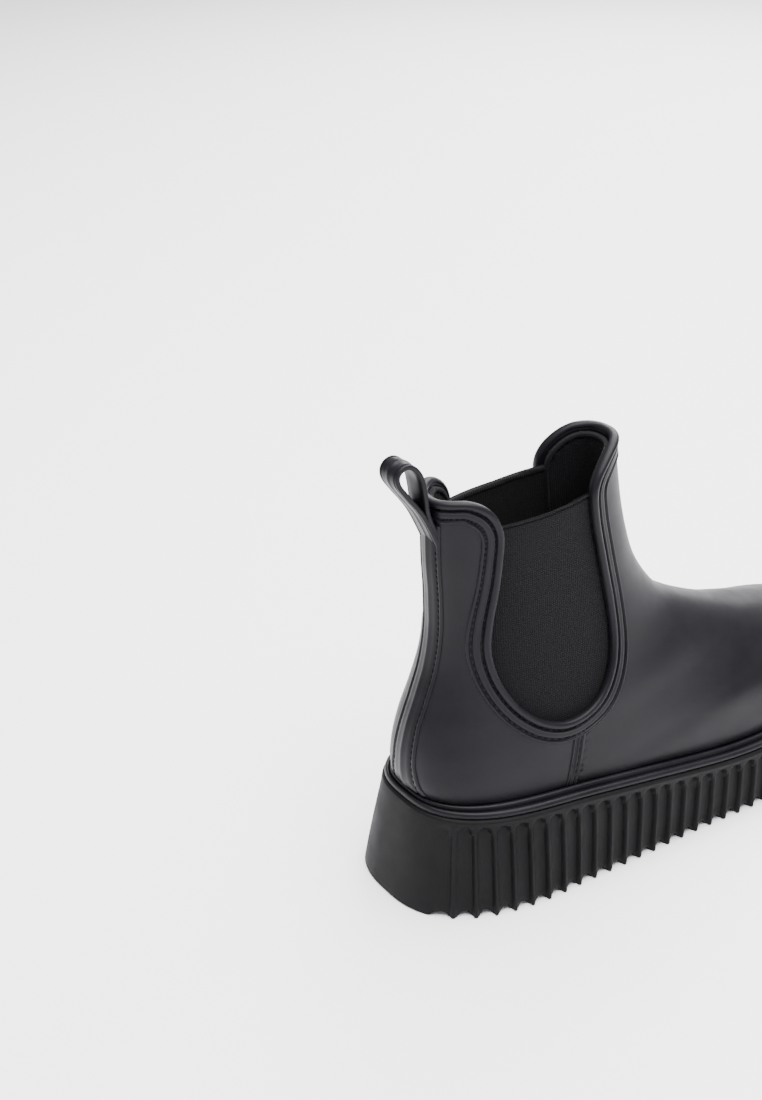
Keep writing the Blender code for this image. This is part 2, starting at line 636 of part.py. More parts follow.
def build_boot():
    for obj in list(bpy.data.objects):
        bpy.data.objects.remove(obj)
    boot = bpy.data.collections.new("rain_boot")
    cutters = bpy.data.collections.new("cutters")
    bpy.context.scene.collection.children.link(boot)
    bpy.context.scene.collection.children.link(cutters)

    # cutters
    clearance = upper_solid("upper_clearance", LAYER_GAP, cutters)
    pocket = core_block("core_pocket", LAYER_GAP, cutters)
    edge_cut = side_prism("edge_cut", beyond_edge(0.0), -70, 70, cutters)
    lining_cut = side_prism("lining_cut", beyond_edge(LINING_DROP), -70, 70, cutters)
    half_gap = LAYER_GAP / 2
    rear = [(x - half_gap, z) for x, z in SEAM] + [(-30.0, SEAM[-1][1]), (-30.0, SEAM[0][1])]
    rear_outer = side_prism("rear_outer", rear, -70, -half_gap, cutters)
    rear_inner = side_prism("rear_inner", rear, half_gap, 70, cutters)
    front = [(x + half_gap, z) for x, z in SEAM] + [(300.0, SEAM[-1][1]), (300.0, SEAM[0][1])]
    front_part = side_prism("front_part", front, -70, 70, cutters)
    lasting = line_outline(FLOOR_LINE, LASTING_HEIGHT, -30.0, 300.0)
    under_shell = side_prism("under_shell", lasting + [(300.0, 0.0), (-30.0, 0.0)], -75, 75,
                             cutters)
    below = line_outline(FLOOR_LINE, LASTING_HEIGHT - LAYER_GAP, -30.0, 300.0)
    floor_part = side_prism("floor_part", below + [(300.0, 0.0), (-30.0, 0.0)], -70, 70, cutters)
    foam_low = LINING_INNER + LAYER_GAP
    foam_high = foam_low + FOAM_THICKNESS
    under = line_outline(FLOOR_LINE, foam_high, 10.0, FOOTBED_FRONT)
    foam_part = side_prism("foam_part", under + [(FOOTBED_FRONT, 0.0), (10.0, 0.0)], -70, 70,
                           cutters)
    cover_low = line_outline(FLOOR_LINE, foam_high + LAYER_GAP, 10.0, FOOTBED_FRONT)
    cover_high = line_outline(FLOOR_LINE, foam_high + LAYER_GAP + COVER_THICKNESS, 10.0,
                              FOOTBED_FRONT)
    cover_part = side_prism("cover_part", cover_low + cover_high[::-1], -70, 70, cutters)
    elastic = gusset_outline(GUSSET_MARGIN)
    elastic_outer = side_prism("elastic_outer", elastic, -70, -2, cutters)
    elastic_inner = side_prism("elastic_inner", elastic, 2, 70, cutters)

    # sole
    sole = outsole(boot)
    cut(sole, clearance, "DIFFERENCE", "MANIFOLD")
    cut(sole, pocket, "DIFFERENCE", "MANIFOLD")
    core = core_block("sole_core", 0.0, boot)
    cut(core, clearance, "DIFFERENCE", "MANIFOLD")
    welt = welt_bead(boot)
    cut(welt, clearance, "DIFFERENCE", "MANIFOLD")

    # upper
    vamp = upper_shell("vamp", 0.0, SHELL_THICKNESS, boot)
    cut(vamp, front_part, "INTERSECT", "MANIFOLD")
    cut(vamp, under_shell, "DIFFERENCE", "MANIFOLD")
    cut(vamp, edge_cut, "DIFFERENCE", "MANIFOLD")
    quarters = []
    for name, part in (("quarter_outer", rear_outer), ("quarter_inner", rear_inner)):
        quarter = upper_shell(name, 0.0, SHELL_THICKNESS, boot)
        cut(quarter, part, "INTERSECT", "MANIFOLD")
        cut(quarter, under_shell, "DIFFERENCE", "MANIFOLD")
        cut(quarter, edge_cut, "DIFFERENCE", "MANIFOLD")
        quarters.append(quarter)
    board = upper_shell("insole_board", 0.0, SHELL_THICKNESS, boot)
    cut(board, floor_part, "INTERSECT", "MANIFOLD")
    lining = upper_shell("lining", -LINING_OUTER, LINING_THICKNESS, boot)
    cut(lining, lining_cut, "DIFFERENCE", "MANIFOLD")
    gussets = []
    for name, part in (("gusset_outer", elastic_outer), ("gusset_inner", elastic_inner)):
        gusset = upper_shell(name, -LINING_OUTER, LINING_THICKNESS, boot)
        cut(gusset, part, "INTERSECT", "MANIFOLD")
        gussets.append(gusset)
    stay = heel_stay(boot)
    low = TRIM_LIFT
    high = TRIM_LIFT + TRIM_THICKNESS
    band = edge_ring("topline_band", ((0.0, low), (0.0, high + 0.4), (2.0, high + 0.4),
                                      (2.4, high), (BAND_WIDTH, high), (BAND_WIDTH, low)), boot)

    # footbed
    foam = upper_solid("footbed_foam", -LINING_INNER - LAYER_GAP, boot)
    cut(foam, foam_part, "INTERSECT", "MANIFOLD")
    cover = upper_solid("footbed_cover", -LINING_INNER - LAYER_GAP, boot)
    cut(cover, cover_part, "INTERSECT", "MANIFOLD")

    # sewing
    thread_height = high + LAYER_GAP + THREAD_RADIUS + 0.1
    threads = [edge_ring("thread_edge_row", thread_section(THREAD_ROWS[0] + 0.8, thread_height,
                                                    THREAD_RADIUS), boot),
               edge_ring("thread_outer_row", thread_section(THREAD_ROWS[1], thread_height,
                                                     THREAD_RADIUS), boot),
               stay_thread("thread_stay_outer", -1, boot),
               stay_thread("thread_stay_inner", 1, boot)]

    # pull tab
    hinge = bpy.data.objects.new("pull_tab_hinge", None)
    hinge.location = place(TAB_HINGE[0], 0, TAB_HINGE[1])
    boot.objects.link(hinge)
    tab = pull_tab(hinge, boot)
    root = pull_tab_root(boot)

    finish(sole, SOLE_BLACK, 0.6)
    for obj in (vamp, stay, band, welt, tab, root, *quarters):
        finish(obj, RUBBER_BLACK, 0.42)
    for obj in gussets:
        finish(obj, ELASTIC_BLACK, 0.85)
    for obj in threads:
        finish(obj, THREAD_BLACK, 0.7)
    finish(lining, LINING_GREY, 0.95)
    finish(cover, LINING_GREY, 0.9)
    finish(foam, FOAM_GREY, 0.9)
    finish(core, FOAM_GREY, 0.85)
    finish(board, BOARD_BROWN, 0.8)
    for obj in cutters.objects:
        obj.hide_render = True
        obj.display_type = "WIRE"


build_boot()
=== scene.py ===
"""Looks of an ankle-height rubber rain boot with elastic side panels and a fluted platform sole.

Lengths are in millimetres from the back of the heel and the ground, and place() turns them
into metres in the boot's own frame. The toe points along +X and the outer side faces -Y.
"""
import math

import bmesh
import bpy
from mathutils import Matrix, Vector


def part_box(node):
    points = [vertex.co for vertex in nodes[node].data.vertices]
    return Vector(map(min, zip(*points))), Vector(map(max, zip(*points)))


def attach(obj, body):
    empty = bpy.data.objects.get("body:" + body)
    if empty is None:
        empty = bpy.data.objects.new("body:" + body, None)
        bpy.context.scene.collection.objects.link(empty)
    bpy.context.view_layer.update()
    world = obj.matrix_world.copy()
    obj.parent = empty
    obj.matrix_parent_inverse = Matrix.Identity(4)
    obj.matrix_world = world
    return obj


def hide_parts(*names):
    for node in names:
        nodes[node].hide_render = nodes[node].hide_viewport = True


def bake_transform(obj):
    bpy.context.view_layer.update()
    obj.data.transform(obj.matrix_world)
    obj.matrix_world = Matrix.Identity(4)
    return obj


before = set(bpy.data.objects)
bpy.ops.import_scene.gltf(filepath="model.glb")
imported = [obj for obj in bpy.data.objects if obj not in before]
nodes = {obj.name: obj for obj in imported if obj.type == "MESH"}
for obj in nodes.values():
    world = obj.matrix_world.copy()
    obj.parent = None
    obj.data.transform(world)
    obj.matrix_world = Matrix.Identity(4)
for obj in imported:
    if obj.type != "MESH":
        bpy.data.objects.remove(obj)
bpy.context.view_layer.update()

# ---- the boot's own shape, as the maker's pattern gives it ----
MIDDLE_X = 135.9
MIDDLE_Y = 1.35
RUBBER = 2.0             # thickness of the moulded upper
LINING_DEPTH = 2.8       # the lining and the elastic start this far inside the outer face
LINING_THICKNESS = 1.3
LINING_DROP = 3.6        # how far below the rubber's edge the lining starts

# Slices of the upper: back end (x, z), front end (x, z), half width, sideways shift,
# squareness of the back half and of the front half.
SECTIONS = (
    (21.5, 204.0, 106.5, 204.0, 19.5, 0.0, 2.3, 2.3),
    (21.0, 186.0, 107.5, 186.0, 19.5, 0.0, 2.3, 2.3),
    (20.5, 168.0, 110.0, 169.0, 19.8, 0.0, 2.3, 2.3),
    (20.8, 150.0, 112.5, 154.0, 20.5, 0.0, 2.3, 2.3),
    (22.0, 134.0, 115.5, 141.0, 21.8, 0.0, 2.3, 2.3),
    (22.2, 118.0, 120.0, 127.5, 23.5, 0.0, 2.3, 2.3),
    (20.0, 103.0, 127.5, 115.5, 25.5, 0.0, 2.3, 2.2),
    (15.4, 89.0, 137.0, 104.5, 27.5, 0.0, 2.3, 2.2),
    (10.8, 76.0, 149.0, 96.5, 29.5, 0.0, 2.4, 2.2),
    (8.6, 63.0, 164.0, 88.8, 31.5, -0.5, 2.6, 2.2),
    (10.3, 50.0, 179.0, 82.6, 32.5, -1.0, 3.0, 2.2),
    (20.0, 39.0, 194.0, 78.3, 33.5, -1.5, 3.2, 2.2),
    (45.0, 36.5, 208.0, 74.2, 34.5, -1.5, 3.8, 2.2),
    (78.0, 34.0, 220.0, 70.7, 36.5, -1.0, 4.2, 2.2),
    (112.0, 30.5, 231.0, 67.0, 38.2, 0.0, 4.5, 2.2),
    (146.0, 26.5, 241.0, 62.5, 39.5, 0.8, 4.5, 2.2),
    (178.0, 25.0, 250.0, 59.0, 39.0, 1.8, 4.5, 2.2),
    (205.0, 26.0, 257.0, 54.0, 35.5, 3.2, 4.0, 2.2),
    (228.0, 28.5, 262.5, 47.5, 28.5, 4.5, 3.5, 2.2),
    (241.0, 30.5, 265.3, 40.5, 21.0, 5.5, 3.2, 2.2),
    (250.0, 32.0, 264.8, 34.2, 13.5, 6.0, 2.8, 2.2),
)
LAST_ROW = len(SECTIONS) - 1
LOWEST_ROWS = (10.5, 20.0)

# Edge of the rubber seen from the side, from the middle of the back to the middle of the front.
EDGE = ((0.0, 176.0), (24.0, 176.5), (30.0, 176.5), (36.0, 173.5), (40.5, 168.5), (43.0, 161.0),
        (42.5, 150.0), (41.0, 138.0), (38.5, 124.0), (37.5, 111.0), (40.5, 98.0),
        (47.5, 86.5), (58.0, 78.0), (70.0, 75.0), (82.0, 79.0), (90.0, 88.5),
        (93.5, 101.0), (93.0, 118.0), (90.0, 137.0), (87.0, 154.0),
        (86.0, 165.5), (88.5, 172.5), (94.0, 178.0), (99.5, 181.3), (104.5, 182.7),
        (0.0, 183.2))
RIM = ((0.0, 45.1), (12.0, 44.6), (30.0, 43.3), (48.0, 42.6), (67.0, 41.6), (86.0, 39.4),
       (106.0, 36.9), (127.0, 33.4), (146.0, 30.6), (166.0, 29.3), (200.0, 29.6),
       (225.0, 31.6), (250.0, 34.6), (275.0, 38.6))
FLOOR = ((0.0, 38.5), (20.0, 38.5), (45.0, 36.5), (78.0, 34.0), (112.0, 30.5),
         (146.0, 26.5), (178.0, 25.0), (205.0, 26.0), (228.0, 28.3), (246.0, 31.0),
         (257.0, 32.4), (290.0, 37.0))
SIDE_SEAM = ((74.6, 72.0), (73.2, 66.0), (71.6, 58.0), (70.0, 51.0), (68.7, 44.6), (68.1, 42.0))
ELASTIC_TOP = ((30.0, 163.6), (43.0, 163.7), (64.0, 163.9), (86.0, 165.2), (100.0, 165.8))
TOE_SPRING_START = 180.0
TOE_SPRING_RATE = 0.0012
FLUTE_PITCH = 8.1
FLUTE_FIRST = 7.6
GIRTH_LIFT = 3.9
TAB_HALF_WIDTH = 5.75
TAB_THICKNESS = 2.0


def place(x, y, z):
    """Millimetres from the heel to metres in the boot's frame."""
    return Vector(((x - MIDDLE_X) / 1000, (y - MIDDLE_Y) / 1000, z / 1000))


def blend_rows(rows, position, first=0, last=None):
    """Smooth curve through equally spaced rows; position counts rows from 0."""
    end = len(rows) - 1
    i = min(max(int(position), 0), end - 1)
    t = position - i
    a = rows[max(i - 1, 0)][first:last]
    b = rows[i][first:last]
    c = rows[i + 1][first:last]
    d = rows[min(i + 2, end)][first:last]
    return [0.5 * (2 * q + (r - p) * t + (2 * p - 5 * q + 4 * r - s) * t * t
                   + (3 * q - p - 3 * r + s) * t ** 3) for p, q, r, s in zip(a, b, c, d)]


def height_at(table, x):
    if x <= table[0][0]:
        return table[0][1]
    for (x0, z0), (x1, z1) in zip(table, table[1:]):
        if x <= x1:
            return z0 + (z1 - z0) * (x - x0) / (x1 - x0)
    return table[-1][1]


def soft_height(table, x, reach=9.0):
    """height_at with its corners eased over a reach either side."""
    return sum(height_at(table, x + reach * k / 4) for k in range(-4, 5)) / 9


def ease(t):
    t = min(max(t, 0.0), 1.0)
    return t * t * (3 - 2 * t)


def ground(x):
    return TOE_SPRING_RATE * max(0.0, x - TOE_SPRING_START) ** 2


# ---- the surface of the upper ----

def on_upper(row, turn, side):
    """Point of the outer face; turn runs from 0 at the back to pi at the front."""
    row = min(max(row, 0.0), LAST_ROW)
    bx, bz, fx, fz, width, shift, back, front = blend_rows(SECTIONS, row)
    square = back if turn < math.pi / 2 else front
    c = math.cos(turn)
    s = abs(math.sin(turn))
    reach = (abs(c) ** square + s ** square) ** (-1 / square)
    t = (1 - c * reach) / 2
    across = s * reach
    return Vector((bx + (fx - bx) * t, (shift + side * width) * across, bz + (fz - bz) * t))


def upper_facing(row, turn, side):
    """Outward direction of the upper's face."""
    step = 0.03
    turn = min(max(turn, step), math.pi - step)
    row = min(max(row, step), LAST_ROW - step)
    down = on_upper(row + step, turn, side) - on_upper(row - step, turn, side)
    round_ = on_upper(row, turn + step, side) - on_upper(row, turn - step, side)
    facing = round_.cross(down) * side
    if turn == step or turn == math.pi - step:
        facing.y = 0.0
    return facing.normalized()


def lifted(row, turn, side, height):
    return on_upper(row, turn, side) + upper_facing(row, turn, side) * height


def from_side(x, z):
    """Row and turn of the point of the upper that is seen at (x, z) from the side."""
    low = 0.0
    high = float(LAST_ROW)
    for _ in range(18):
        row = (low + high) / 2
        bx, bz, fx, fz = blend_rows(SECTIONS, row, 0, 4)
        if (fx - bx) * (z - bz) - (fz - bz) * (x - bx) > 0:
            high = row
        else:
            low = row
    bx, bz, fx, fz, _, _, back, front = blend_rows(SECTIONS, row)
    t = ((x - bx) * (fx - bx) + (z - bz) * (fz - bz)) / ((fx - bx) ** 2 + (fz - bz) ** 2)
    along = min(max(2 * t - 1, -1.0), 1.0)
    square = back if along < 0 else front
    across = max(0.0, 1 - abs(along) ** square) ** (1 / square)
    return row, math.atan2(across, -along)


def over_side(x, z, side, height):
    """Point at a height over the upper where (x, z) is seen from the side."""
    row, turn = from_side(x, z)
    return lifted(row, turn, side, height)


def row_at(z, end):
    """Row whose back end (0) or front end (1) is at height z."""
    low = 0.0
    high = LOWEST_ROWS[end]
    for _ in range(24):
        row = (low + high) / 2
        if blend_rows(SECTIONS, row, 0, 4)[1 + 2 * end] > z:
            low = row
        else:
            high = row
    return row


# ---- making pieces ----

WELD_GAP = 2e-6          # points this close, in metres, become one
SHORTEST_EDGE = 1e-6


def new_object(name, bm, material):
    """Turn a bmesh into a smooth object in the scene."""
    mesh = bpy.data.meshes.new(name)
    bm.to_mesh(mesh)
    bm.free()
    mesh.shade_smooth()
    mesh.materials.append(material)
    obj = bpy.data.objects.new(name, mesh)
    bpy.context.scene.collection.objects.link(obj)
    return obj


def link_piece(name, bm, material, smooth_angle=50.0):
    """A closed piece with its faces outward, and with edges sharper than the angle kept."""
    bmesh.ops.remove_doubles(bm, verts=bm.verts, dist=WELD_GAP)
    bmesh.ops.dissolve_degenerate(bm, edges=bm.edges, dist=SHORTEST_EDGE)
    bmesh.ops.recalc_face_normals(bm, faces=bm.faces)
    obj = new_object(name, bm, material)
    obj.data.set_sharp_from_angle(angle=math.radians(smooth_angle))
    return obj


def close_ends(bm):
    """Fill the two open ends of a strip."""
    bmesh.ops.holes_fill(bm, edges=[e for e in bm.edges if e.is_boundary], sides=0)


def both_sides(lap):
    """Split a way round the boot, 0 to 1, into its side and the share of that side."""
    lap *= 2
    return (-1, lap) if lap <= 1 else (1, 2 - lap)


def lay_grid(bm, columns, rows, surface, size_mm=(1.0, 1.0)):
    """A grid of faces whose points surface(u, v) gives, with a UV map in real metres."""
    made = bmesh.ops.create_grid(bm, x_segments=columns, y_segments=rows, size=0.5)["verts"]
    uv_layer = bm.loops.layers.uv.verify()
    faces = {face for vert in made for face in vert.link_faces}
    for face in faces:
        for loop in face.loops:
            u = loop.vert.co.x + 0.5
            v = loop.vert.co.y + 0.5
            loop[uv_layer].uv = (u * size_mm[0] / 1000, v * size_mm[1] / 1000)
    for vert in made:
        u = min(max(vert.co.x + 0.5, 0.0), 1.0)
        v = min(max(vert.co.y + 0.5, 0.0), 1.0)
        vert.co = place(*surface(u, v))
    return made


def pick(items, share):
    """Item of a list at a share of its length, with the values between blended."""
    position = share * (len(items) - 1)
    i = min(int(position + 1e-6), len(items) - 1)
    j = min(i + 1, len(items) - 1)
    t = position - i
    return [p + (q - p) * t for p, q in zip(items[i], items[j])]


def fit_out(obj, body, slot, *stands_for):
    """Say which body a piece rides and the nodes that it replaces; the slot is not used."""
    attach(obj, body)
    if stands_for:
        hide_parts(*stands_for)
    return obj


EDGE_FINE = 600


def edge_frames(steps):
    """Stations of the rubber's edge, evenly spaced: (x, z, way into the rubber x, z)."""
    corners = [list(c) for c in EDGE]
    corners[0][0] = blend_rows(SECTIONS, row_at(EDGE[0][1], 0))[0]
    corners[-1][0] = blend_rows(SECTIONS, row_at(EDGE[-1][1], 1))[2]
    fine = EDGE_FINE
    smooth = [blend_rows(corners, i * (len(corners) - 1) / fine) for i in range(fine + 1)]
    spots = [on_upper(*from_side(x, z), -1) for x, z in smooth]
    lengths = [0.0]
    for before, after in zip(spots, spots[1:]):
        lengths.append(lengths[-1] + (after - before).length)
    frames = []
    j = 0
    for i in range(steps + 1):
        wanted = lengths[-1] * i / steps
        while j < fine - 1 and lengths[j + 1] < wanted:
            j += 1
        t = (wanted - lengths[j]) / max(lengths[j + 1] - lengths[j], 1e-9)
        x = smooth[j][0] + (smooth[j + 1][0] - smooth[j][0]) * t
        z = smooth[j][1] + (smooth[j + 1][1] - smooth[j][1]) * t
        x0, z0 = smooth[max(j - 4, 0)]
        x1, z1 = smooth[min(j + 5, fine)]
        length = math.hypot(x1 - x0, z1 - z0)
        frames.append((x, z, (z1 - z0) / length, -(x1 - x0) / length))
    return frames, lengths[-1]


EDGE_STATIONS = 190
BAND_STATIONS = 2 * EDGE_STATIONS
edge, edge_length = edge_frames(EDGE_STATIONS)


def over_edge(v, distance, height):
    """Point on the band's way round the whole opening; v runs once round both sides."""
    side, share = both_sides(v)
    x, z, nx, nz = pick(edge, share)
    row, turn = from_side(x + nx * distance, z + nz * distance)
    if share < 1e-6:
        turn = 0.0
    if share > 1 - 1e-6:
        turn = math.pi
    return lifted(row, turn, side, height)


def inside_outline(x, z, outline):
    """Whether (x, z) lies inside a closed outline."""
    inside = False
    for (x0, z0), (x1, z1) in zip(outline, outline[1:] + outline[:1]):
        if (z0 > z) != (z1 > z) and x < x0 + (x1 - x0) * (z - z0) / (z1 - z0):
            inside = not inside
    return inside


def beyond_edge(offset):
    """Side-view outline of everything past the edge moved into the rubber by offset."""
    behind, ahead, above, reach = -40.0, 170.0, 240.0, 8
    path = [(x + nx * offset, z + nz * offset) for x, z, nx, nz in edge]
    return ([(behind, above), (behind, path[0][1]), (path[0][0] - reach, path[0][1])] + path[1:-1]
            + [(path[-1][0] + reach, path[-1][1]), (ahead, path[-1][1]), (ahead, above)])


def to_mm(co):
    """The opposite of place()."""
    return co.x * 1000 + MIDDLE_X, co.y * 1000 + MIDDLE_Y, co.z * 1000


# ---- materials ----

def srgb(code):
    """sRGB hex to linear colour."""
    parts = [int(code[i:i + 2], 16) / 255 for i in (1, 3, 5)]
    return (*[c / 12.92 if c <= 0.04045 else ((c + 0.055) / 1.055) ** 2.4 for c in parts], 1.0)


def node(tree, kind, links=(), **settings):
    """Add a node, set its properties or sockets, and link (socket, from node, output)."""
    made = tree.nodes.new(kind)
    for key, value in settings.items():
        if hasattr(made, key):
            setattr(made, key, value)
        else:
            made.inputs[key.replace("_", " ")].default_value = value
    for socket, source, output in links:
        tree.links.new(source.outputs[output], made.inputs[socket])
    return made


def new_material(name, colour, roughness, specular):
    """A material with even values, and its tree and shader for those that vary."""
    material = bpy.data.materials.new(name)
    material.use_nodes = True
    tree = material.node_tree
    shader = tree.nodes["Principled BSDF"]
    shader.inputs["Base Color"].default_value = srgb(colour)
    shader.inputs["Roughness"].default_value = roughness
    shader.inputs["Specular IOR Level"].default_value = specular
    return material, tree, shader


def tint(tree, shader, source, output, dark, light):
    """Colour by a value; dark and light are (value, colour)."""
    ramp = node(tree, "ShaderNodeValToRGB", [("Fac", source, output)])
    for element, (value, colour) in zip(ramp.color_ramp.elements, (dark, light)):
        element.position = value
        element.color = srgb(colour)
    tree.links.new(ramp.outputs["Color"], shader.inputs["Base Color"])


def mottle(tree, shader, where, socket, scale, low, high, detail=3.0):
    """Vary a number or a colour over the surface with a soft noise."""
    noise = node(tree, "ShaderNodeTexNoise", [("Vector", where, "Object")],
                 Scale=scale, Detail=detail, Roughness=0.55)
    if isinstance(low, str):
        tint(tree, shader, noise, "Fac", (0.35, low), (0.65, high))
    else:
        spread = node(tree, "ShaderNodeMapRange", [("Value", noise, "Fac")],
                      From_Min=0.3, From_Max=0.7, To_Min=low, To_Max=high)
        tree.links.new(spread.outputs["Result"], shader.inputs[socket])


def relief(tree, shader, height, output, distance, strength):
    """Small bumps, given by their height in metres."""
    bump = node(tree, "ShaderNodeBump", [("Height", height, output)],
                Distance=distance, Strength=strength)
    tree.links.new(bump.outputs["Normal"], shader.inputs["Normal"])


def yarns(tree, where, direction, scale, distortion):
    """Parallel yarns over the cloth; they lie 314 / scale millimetres apart."""
    return node(tree, "ShaderNodeTexWave", [("Vector", where, "UV")], wave_type="BANDS",
                bands_direction=direction, wave_profile="SIN", Scale=scale,
                Distortion=distortion, Detail=1.0)


def moulded_rubber():
    # Vulcanised natural rubber, moulded and lacquered satin: nearly black with a mauve cast,
    # broad soft highlights and a skin that is not quite even.
    material, tree, shader = new_material("satin_vulcanised_rubber", "#0f0e12", 0.4, 0.13)
    where = node(tree, "ShaderNodeTexCoord")
    mottle(tree, shader, where, "Base Color", 45.0, "#0d0c10", "#121115")
    mottle(tree, shader, where, "Roughness", 90.0, 0.39, 0.47, 4.0)
    # mould skin, a grain of about 0.5 mm, and the slow waviness of hand-laid sheet rubber
    grain = node(tree, "ShaderNodeTexNoise", [("Vector", where, "Object")],
                 Scale=2000.0, Detail=2.0, Roughness=0.6)
    wave = node(tree, "ShaderNodeTexNoise", [("Vector", where, "Object")],
                Scale=55.0, Detail=1.0, Roughness=0.4)
    swells = node(tree, "ShaderNodeMath", [(0, wave, "Fac")], operation="MULTIPLY")
    swells.inputs[1].default_value = 14.0
    total = node(tree, "ShaderNodeMath", [(0, grain, "Fac"), (1, swells, "Value")],
                 operation="ADD")
    relief(tree, shader, total, "Value", 0.00002, 0.5)
    return material


def sole_rubber():
    # Compression-moulded carbon-black rubber straight from the tool: matte, neutral black,
    # with a fine spark-eroded mould texture.
    material, tree, shader = new_material("matte_moulded_sole_rubber", "#0c0c0d", 0.5, 0.1)
    where = node(tree, "ShaderNodeTexCoord")
    mottle(tree, shader, where, "Base Color", 60.0, "#0a0a0b", "#0f0f10")
    mottle(tree, shader, where, "Roughness", 120.0, 0.53, 0.64, 4.0)
    grain = node(tree, "ShaderNodeTexNoise", [("Vector", where, "Object")],
                 Scale=1600.0, Detail=3.0, Roughness=0.65)
    relief(tree, shader, grain, "Fac", 0.00004, 0.55)
    return material


def elastic_webbing():
    # Covered-rubber elastic: polyester yarn over rubber strands. Fine upright ribs crossed by
    # the picks give a dead-matte cloth, speckled with painted shade in the hollows between them.
    material, tree, shader = new_material("ribbed_gusset_elastic", "#101012", 0.93, 0.1)
    shader.inputs["Sheen Weight"].default_value = 0.03
    shader.inputs["Sheen Roughness"].default_value = 0.5
    where = node(tree, "ShaderNodeTexCoord")
    ribs = yarns(tree, where, "X", 330.0, 1.2)
    picks = yarns(tree, where, "Y", 390.0, 2.0)
    weave = node(tree, "ShaderNodeMath", [(0, ribs, "Fac"), (1, picks, "Fac")], operation="MULTIPLY")
    fuzz = node(tree, "ShaderNodeTexNoise", [("Vector", where, "UV")],
                Scale=1500.0, Detail=3.0, Roughness=0.7)
    height = node(tree, "ShaderNodeMath", [(0, weave, "Value"), (1, fuzz, "Fac")], operation="ADD")
    # painted shade: the colour follows the weave's height, darker in the hollows between ribs and
    # picks, lighter on the yarn tops
    tint(tree, shader, height, "Value", (0.35, "#050506"), (1.15, "#121214"))
    relief(tree, shader, height, "Value", 0.00022, 0.8)
    return material


def woven(name, low, high, scale, depth, roughness=0.88, sheen=0.03):
    """Cloth with yarns crossing 314 / scale millimetres apart."""
    material, tree, shader = new_material(name, low, roughness, 0.1)
    shader.inputs["Sheen Weight"].default_value = sheen
    shader.inputs["Sheen Roughness"].default_value = 0.5
    where = node(tree, "ShaderNodeTexCoord")
    warp = yarns(tree, where, "X", scale, 0.3)
    weft = yarns(tree, where, "Y", scale, 0.3)
    cloth = node(tree, "ShaderNodeMath", [(0, warp, "Fac"), (1, weft, "Fac")], operation="MULTIPLY")
    # painted shade: the colour follows the yarns' height, darker in the gaps between them and
    # lighter where they cross on top
    tint(tree, shader, cloth, "Value", (0.05, low), (0.8, high))
    relief(tree, shader, cloth, "Value", depth, 0.9)
    return material


def plain_foam(name, low, high, cell, roughness):
    # A cut face with fine pores or flakes, a cell of 1000 / cell millimetres across.
    material, tree, shader = new_material(name, low, roughness, 0.3)
    where = node(tree, "ShaderNodeTexCoord")
    mottle(tree, shader, where, "Base Color", 150.0, low, high)
    pores = node(tree, "ShaderNodeTexVoronoi", [("Vector", where, "Object")], Scale=cell)
    relief(tree, shader, pores, "Distance", 0.0002, 0.5)
    return material


RUBBER_SKIN = moulded_rubber()
SOLE_SKIN = sole_rubber()
ELASTIC = elastic_webbing()
# Polyester warp knit, nearly black, loops about 0.8 mm apart: an open mesh, a fine crosshatch, with
# painted shade between the loops.
LINING_KNIT = woven("mesh_knit_lining", "#0c0c0e", "#1c1c20", 380.0, 0.0003)
# Bonded nylon, black with a slight lustre, darker between its twists with painted shade.
THREAD = woven("bonded_nylon_thread", "#08080a", "#1c1c20", 260.0, 0.0001, 0.6, 0.0)
# Brushed polyester tricot over foam, dark grey, darker between the yarns with painted shade.
FOOTBED_CLOTH = woven("brushed_footbed_tricot", "#1c1c1f", "#303034", 190.0, 0.0002)
FOAM = plain_foam("closed_cell_footbed_foam", "#5e5e62", "#6c6c70", 900.0, 0.9)
CORE_FOAM = plain_foam("expanded_core_foam", "#6f6f72", "#7c7c80", 700.0, 0.9)
BOARD = plain_foam("pressed_cellulose_board", "#8e7a62", "#9d8a71", 1200.0, 0.85)

# ---- the sole ----

GIRTH_FINE = 420
GIRTH_STEP = 0.012       # share of the girth either side that gives its direction


def rim_end(end):
    """Where the girth meets the middle of the back (0) or of the front (1)."""
    x = RIM[-end][0]
    for _ in range(5):
        x = blend_rows(SECTIONS, row_at(soft_height(RIM, x) + GIRTH_LIFT, end))[2 * end]
    return x


BACK_X = rim_end(0)
FRONT_X = rim_end(1)


def girth_point(u, side):
    """Outline of the upper just over the rim; u runs from 0 at the heel to 1 at the toe."""
    u = min(max(u, 0.0), 1.0)
    x = BACK_X + (FRONT_X - BACK_X) * (1 - math.cos(math.pi * u)) / 2
    row, turn = from_side(x, soft_height(RIM, x) + GIRTH_LIFT)
    if u == 0.0:
        turn = 0.0
    if u == 1.0:
        turn = math.pi
    return on_upper(row, turn, side)


def girth(u, side):
    """Point of that outline and the way out from it in plan."""
    step = GIRTH_STEP
    here = girth_point(u, side)
    before = girth_point(u - step, side) if u >= step else girth_point(step, -side)
    after = girth_point(u + step, side) if u <= 1 - step else girth_point(1 - step, -side)
    along = Vector((after.x - before.x, after.y - before.y, 0)).normalized()
    return here, Vector((-along.y, along.x, 0)) * side


girths = {side: [girth(i / GIRTH_FINE, side) for i in range(GIRTH_FINE + 1)] for side in (-1, 1)}


def girth_at(u, side):
    """girth() read from its fine list."""
    position = min(max(u, 0.0), 1.0) * GIRTH_FINE
    i = min(int(position), GIRTH_FINE - 1)
    t = position - i
    p, n = girths[side][i]
    q, m = girths[side][i + 1]
    return p.lerp(q, t), n.lerp(m, t).normalized()


def heel_tuck(u):
    """The rim and the bead lie closer behind the heel."""
    return 1 - ease(u / 0.25)


